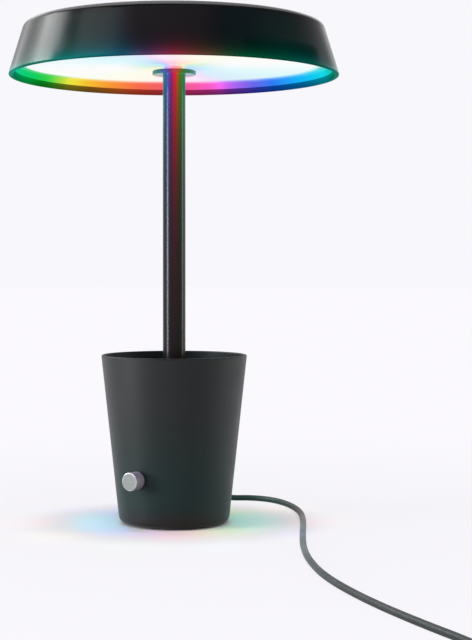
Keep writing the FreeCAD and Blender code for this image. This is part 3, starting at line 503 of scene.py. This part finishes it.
def cup_paint():
    surface = Surface("cup_paint", (0.0085, 0.0098, 0.0102), 0.48, specular=0.20, spread=0.10,
                      patch=16.0, grain=3200.0, depth=0.00003, rough_spread=0.05, dust=0.006)
    surface.shader.inputs["Sheen Weight"].default_value = 0.10
    # Painted shade along the top of the rim: darker there, and rougher.
    surface.wear_and_painted_shade(band(surface.z, CUP_TOP - 0.0006, CUP_TOP), (0.004, 0.004, 0.004), 0.60)
    surface.wear_and_painted_shade(band(surface.z, 0.0050, 0.0018, 0.0, 0.5), (0.035, 0.035, 0.033), 0.62)
    # Painted reflections of the lamp's light: teal over the lower half, warmer near the foot.
    surface.tint(band(surface.z, 0.110, 0.020), (0.0012, 0.0125, 0.0120))
    surface.tint(band(surface.z, 0.0210, 0.0040, 0.0, 0.75), (0.0085, 0.0048, 0.0042))
    # Painted shade with the gloss taken out: at half strength on the inside, and along the rim.
    outward, _ = surface.facing()
    shaded_inside = product(calc("LESS_THAN", outward, 0.0), 0.5)
    shaded_rim = band(surface.z, CUP_TOP - 0.0014, CUP_TOP - 0.0005, 0.0, 0.55)
    surface.painted_shade_no_gloss(calc("MAXIMUM", shaded_inside, shaded_rim), (0.0022, 0.0045, 0.0075))
    surface.finish("cup_shell")


post_lacquer()
collar_lacquer()
cup_paint()
cover(("cup_floor", "bottom_cover"), "inner_plastic", (0.030, 0.030, 0.031), 0.60,
      specular=0.4, spread=0.15, patch=60.0, grain=2400.0, depth=0.00004, dust=0.06)
cover(("foot_ring", "floor_grommet", "cord_gland", "cord_tie"), "soft_rubber",
      (0.020, 0.020, 0.021), 0.72, specular=0.35, spread=0.2, patch=120.0, grain=5200.0,
      depth=0.00004, dust=0.03)

# ---- Dial -------------------------------------------------------------------

DIAL_OUT = tuple(Vector((DIAL_MIDDLE[0], DIAL_MIDDLE[1], 0.0)).normalized())
DIAL_START = (0.0, 0.0, DIAL_MIDDLE[2])         # where its axis meets the lamp's
KNOB_RADIUS = 7.25 * MM


def turned_metal(name, colour, rough, pitch, **more):
    """Metal turned about the dial's axis, with its lines, and the distance from that axis."""
    surface = Surface(name, colour, rough, spread=0.06, patch=180.0, grain=6000.0,
                      depth=0.000010, **more)
    from_start = vector("SUBTRACT", surface.coords, DIAL_START)
    along = vector("DOT_PRODUCT", from_start, DIAL_OUT, out=1)
    radial = vector("LENGTH", vector("SUBTRACT", from_start, scaled(DIAL_OUT, along)), out=1)
    place = product(calc("ADD", along, radial), 2 * math.pi / pitch)
    lines = calc("SINE", calc("ADD", place, product(surface.patches, 2.0)))
    surface.relief = calc("ADD", product(lines, 0.5), product(surface.speckle, 0.5))
    surface.tint(band(lines, -1.0, 1.0, 0.0, 0.35), toned(colour, 0.78))
    return surface, radial


def dial_metals():
    """The knob has a paler side and a bright, rubbed edge. Its shaft is bare."""
    knob, radial = turned_metal("turned_aluminium", (0.17, 0.185, 0.18), 0.60, 0.00045,
                                metallic=0.5, specular=0.3)
    knob.tint(band(radial, KNOB_RADIUS - 0.00065, KNOB_RADIUS - 0.00015), (0.24, 0.22, 0.25))
    edge = product(band(radial, KNOB_RADIUS - 0.00095, KNOB_RADIUS - 0.00035, 0.0, 0.7),
                   band(radial, KNOB_RADIUS - 0.00003, KNOB_RADIUS - 0.00011))
    knob.wear_and_painted_shade(edge, (0.72, 0.73, 0.73), 0.30)
    knob.finish("knob")
    shaft, _ = turned_metal("bare_aluminium_dial", (0.62, 0.63, 0.63), 0.36, 0.0006, metallic=1.0)
    shaft.finish("encoder_shaft")


dial_metals()

# ---- Steel and aluminium inside ---------------------------------------------

cover(("head_screws", "threaded_nipple", "lock_washer", "top_nut", "post_top_bush", "post_foot",
       "post_foot_screws", "bottom_screws", "board_screws", "inner_cord_tie", "encoder_case",
       "encoder_washer", "encoder_nut", "knob_set_screw"), "plated_steel", (0.60, 0.59, 0.56),
      0.32, metallic=1.0, spread=0.10, patch=160.0, grain=3600.0, depth=0.000008,
      rough_spread=0.10)
cover(("heat_spreader", "bulk_capacitor"), "rolled_aluminium", (0.72, 0.73, 0.73), 0.38,
      metallic=1.0, spread=0.06, patch=30.0, grain=900.0, depth=0.000012, rough_spread=0.08,
      stretch=(0.08, 1.0, 1.0))
cover(("ballast_weight",), "cast_iron", (0.11, 0.11, 0.115), 0.62, metallic=0.6, spread=0.25,
      patch=90.0, grain=700.0, depth=0.00015, rough_spread=0.10, dust=0.05)

# ---- Boards and parts on them -----------------------------------------------


def board(pieces, name, colour, copper):
    """A circuit board: solder mask over faint tracks."""
    surface = Surface(name, colour, 0.34, spread=0.08, patch=90.0, grain=1800.0, depth=0.00002)
    cells = add(surface.tree, "ShaderNodeTexVoronoi",
                {"Vector": surface.coords, "Scale": 260.0, "Randomness": 0.85},
                feature="DISTANCE_TO_EDGE", distance="MANHATTAN").outputs[0]
    tracks = band(cells, 0.10, 0.06)
    surface.tint(product(tracks, 0.45), copper)
    surface.relief = calc("ADD", surface.speckle, tracks)
    surface.finish(*pieces)


board(("led_board",), "white_board", (0.80, 0.81, 0.79), (0.70, 0.69, 0.62))
board(("control_board", "encoder_board"), "green_board", (0.020, 0.15, 0.06), (0.06, 0.26, 0.10))
cover(("white_leds",), "led_phosphor", (0.85, 0.66, 0.14), 0.45, spread=0.15, patch=400.0,
      grain=5000.0, depth=0.00004)
cover(("colour_leds",), "led_clear", (0.82, 0.82, 0.78), 0.18, spread=0.08, patch=300.0,
      grain=2600.0, depth=0.00001, coat=0.5)
cover(("head_socket", "board_sockets", "board_standoffs", "encoder_rotor"), "white_nylon",
      (0.74, 0.73, 0.68), 0.48, spread=0.06, patch=220.0, grain=2600.0, depth=0.00003, dust=0.03)
cover(("terminal_block",), "terminal_green", (0.03, 0.22, 0.08), 0.42, spread=0.10, patch=220.0,
      grain=2400.0, depth=0.00003)
cover(("driver_transformer",), "winding_core", (0.16, 0.12, 0.035), 0.40, spread=0.2,
      patch=260.0, grain=700.0, depth=0.00015, stretch=(0.1, 0.1, 4.0))
cover(("board_chips",), "chip_resin", (0.018, 0.018, 0.019), 0.52, spread=0.2, patch=500.0,
      grain=5200.0, depth=0.00003)
cover(("lamp_lead", "encoder_lead"), "lead_sleeve", (0.42, 0.42, 0.41), 0.50, spread=0.10,
      patch=120.0, grain=2600.0, depth=0.00003)
cover(("switch_plunger",), "switch_red", (0.38, 0.030, 0.022), 0.40, spread=0.10, patch=600.0,
      grain=5200.0, depth=0.00002)

# ---- Cord and plug ----------------------------------------------------------

# Painted light and shade along the cord, by the lamp's depth from the coil to the gland, times its
# own colour: dark towards the coil, lightest at the bend by the lamp, dark green by the gland.
SLEEVE_LIGHT_AND_SHADE = [
    (0.00, (0.20, 0.20, 0.20)), (0.18, (0.25, 0.25, 0.25)), (0.38, (0.52, 0.52, 0.52)),
    (0.52, (0.90, 0.90, 0.96)), (0.76, (1.00, 1.00, 1.00)), (0.86, (0.95, 0.86, 0.76)),
    (0.94, (0.30, 0.36, 0.30)), (0.97, (0.10, 0.26, 0.20)), (1.00, (0.10, 0.26, 0.22)),
]
SLEEVE_START, SLEEVE_END = -0.42, 0.12


def cord_sleeve():
    surface = Surface("cord_sleeve", (0.095, 0.115, 0.120), 0.52, specular=0.16, spread=0.15,
                      patch=40.0, grain=1600.0, depth=0.00002, rough_spread=0.07, dust=0.04)
    painted_light_and_shade = ramp(band(surface.y, SLEEVE_START, SLEEVE_END), SLEEVE_LIGHT_AND_SHADE)
    surface.colour = mix(1.0, surface.colour, painted_light_and_shade, "MULTIPLY")
    surface.finish("mains_cord", "supply_lead")


cord_sleeve()
cover(("plug_body",), "plug_plastic", (0.030, 0.031, 0.032), 0.50, specular=0.45, spread=0.12,
      patch=70.0, grain=2400.0, depth=0.00004, dust=0.04)
cover(("plug_blades",), "plated_brass", (0.68, 0.66, 0.58), 0.22, metallic=1.0, spread=0.08,
      patch=200.0, grain=1200.0, depth=0.00001, rough_spread=0.1, stretch=(1.0, 0.08, 1.0))

# ---- Floor and world --------------------------------------------------------

FLOOR_RADIUS = 14.0
FLOOR_STEPS = 96
# Painted shade: the darker grey of the floor round the foot.
FLOOR_SHADE_GREY = (0.56, 0.555, 0.57)
FLOOR_PALE = (0.960, 0.945, 0.980)
BACKDROP = (0.939, 0.930, 0.965)
WORLD_LIGHT = 0.80
POOL_START, POOL_END = 0.058, 0.145     # distances from the axis, as stretched below
POOL_FADE = 0.80                        # by this distance the floor is pale only
POOL_STRETCH = (1.02, 1.20, 1.0)
POOL_SHARE = 0.87                       # how pale the floor is at the pool's end


def seen_directly(tree):
    """1 for what the camera sees, also in a gloss or through glass, and 0 for plain light."""
    path = add(tree, "ShaderNodeLightPath").outputs
    return calc("MAXIMUM", path["Is Camera Ray"],
                calc("MAXIMUM", path["Is Glossy Ray"], path["Is Transmission Ray"]))


def floor_material():
    """Pale of itself, and round the foot a darker matt grey, painted shade, on which the lamp's
    colours fall.
    """
    material = bpy.data.materials.new("floor")
    material.use_nodes = True
    tree = material.node_tree
    tree.nodes.clear()
    coords = add(tree, "ShaderNodeTexCoord").outputs["Object"]
    away = vector("LENGTH", vector("MULTIPLY", coords, POOL_STRETCH), out=1)
    share = calc("ADD", band(away, POOL_START, POOL_END, 0.0, POOL_SHARE),
                 band(away, POOL_END, POOL_FADE, 0.0, 1.0 - POOL_SHARE))
    share = product(share, seen_directly(tree))
    matt = add(tree, "ShaderNodeBsdfDiffuse", {"Color": (*FLOOR_SHADE_GREY, 1.0)}).outputs[0]
    pale = add(tree, "ShaderNodeEmission", {"Color": (*FLOOR_PALE, 1.0)}).outputs[0]
    both = add(tree, "ShaderNodeMixShader", {0: share, 1: matt, 2: pale}).outputs[0]
    add(tree, "ShaderNodeOutputMaterial", {0: both})
    return material


def floor():
    data = bpy.data.meshes.new("floor")
    turns = [2 * math.pi * step / FLOOR_STEPS for step in range(FLOOR_STEPS)]
    shaded_rim = [(FLOOR_RADIUS * math.cos(turn), FLOOR_RADIUS * math.sin(turn), 0.0) for turn in turns]
    data.from_pydata(shaded_rim, [], [tuple(range(FLOOR_STEPS))])
    place_in_scene("floor", data)
    data.materials.append(floor_material())


def studio_world():
    world = bpy.data.worlds.new("studio")
    bpy.context.scene.world = world
    world.use_nodes = True
    tree = world.node_tree
    tree.nodes.clear()
    light = add(tree, "ShaderNodeBackground", {"Color": (1.0, 1.0, 1.0, 1.0),
                                               "Strength": WORLD_LIGHT}).outputs[0]
    pale = add(tree, "ShaderNodeBackground", {"Color": (*BACKDROP, 1.0)}).outputs[0]
    both = add(tree, "ShaderNodeMixShader", {0: seen_directly(tree), 1: light, 2: pale}).outputs[0]
    add(tree, "ShaderNodeOutputWorld", {0: both})


floor()
studio_world()

# ---- Studio lights ----------------------------------------------------------

CARD_TARGET = (0.0, 0.0, 0.385)         # the middle of the shade


def aim(made, target):
    direction = Vector(target) - Vector(made.location)
    made.rotation_euler = direction.to_track_quat("-Z", "Y").to_euler()


def softbox(name, place, target, size, power):
    data = bpy.data.lights.new(name, "AREA")
    data.shape = "RECTANGLE"
    data.size, data.size_y = size
    data.energy = power
    made = place_in_scene(name, data)
    made.location = place
    aim(made, target)
    return made


softbox("top_box", (0.3, -0.4, 2.2), (0.0, 0.0, 0.2), (1.4, 1.4), 12.0)
softbox("left_box", (-1.7, -0.57, 0.28), (0.0, 0.0, 0.28), (0.42, 0.54), 25.0)
fill = softbox("left_fill", (-1.5, -0.57, 1.00), (0.0, 0.0, 0.15), (0.8, 0.8), 12.0)
fill.visible_glossy = False
softbox("right_box", (1.75, 0.15, 0.30), (0.0, 0.0, 0.25), (0.40, 0.56), 7.0)
for name, place, size, power in [("band_card", (-1.60, 0.42, 1.22), (0.68, 0.60), 44.0),
                                 ("edge_card", (-1.10, 1.22, 0.95), (0.70, 0.90), 4.7),
                                 ("middle_card", (-1.42, 0.82, 1.12), (0.30, 0.60), 4.0),
                                 ("back_card", (0.0, 1.60, 1.25), (1.8, 0.5), 5.0),
                                 ("right_card", (0.70, 1.495, 0.62), (0.50, 0.50), 0.45),
                                 ("soft_card", (-1.19, -0.66, 1.40), (0.86, 0.6), 20.4)]:
    card = softbox(name, place, CARD_TARGET, size, power)
    card.visible_diffuse = False        # seen only as a gloss on the dark paint

# ---- The lamp's own light on the floor --------------------------------------

SPOT_CIRCLE, SPOT_HEIGHT = 0.092, 0.362         # under the light guide
SPOT_SOFTNESS = 0.012
LEFT_REACH, RIGHT_REACH = 73.0, 97.0    # degrees of the rainbow from the front to the sides
FAR_START = 88.0                        # where the far ring's rainbow starts, in degrees


def hue_at(degrees):
    """The rainbow's colour at an angle from the front to the lamp's left."""
    degrees %= 180.0
    for (low, first), (high, second) in zip(RAINBOW, RAINBOW[1:]):
        if degrees <= high:
            share = (degrees - low) / (high - low)
            return [a + share * (b - a) for a, b in zip(first, second)]


def near_hue(turn):
    """Red in front and behind, pale blue on the lamp's left and teal on its right."""
    side = math.sin(turn)
    reach = LEFT_REACH if side > 0.0 else RIGHT_REACH
    return hue_at(reach * math.copysign(abs(side) ** 1.2, side))


def far_hue(turn):
    return hue_at(math.degrees(turn) + FAR_START)


def light_ring(name, count, circle, spread, power, side_power, hue):
    """Spots in a ring below the shade, each aimed at a circle on the table."""
    for step in range(count):
        turn = 2 * math.pi * (step + 0.5) / count - math.pi
        across, along = -math.sin(turn), -math.cos(turn)
        data = bpy.data.lights.new(f"{name}_{step + 1}", "SPOT")
        data.energy = power + side_power * abs(across)
        data.color = hue(turn)
        data.spot_size = math.radians(spread)
        data.spot_blend = 1.0
        data.shadow_soft_size = SPOT_SOFTNESS
        spot = place_in_scene(data.name, data)
        spot.location = (SPOT_CIRCLE * across, SPOT_CIRCLE * along, SPOT_HEIGHT)
        aim(spot, (circle * across, circle * along, 0.0))
        spot.visible_glossy = False


light_ring("near_light", 16, 0.067, 11.5, 1.2, 0.95, near_hue)
light_ring("far_light", 10, 0.120, 11.0, 2.8, 0.0, far_hue)

# ---- Hand over --------------------------------------------------------------

view = bpy.context.scene.view_settings
view.view_transform = "Standard"
bpy.context.view_layer.update()
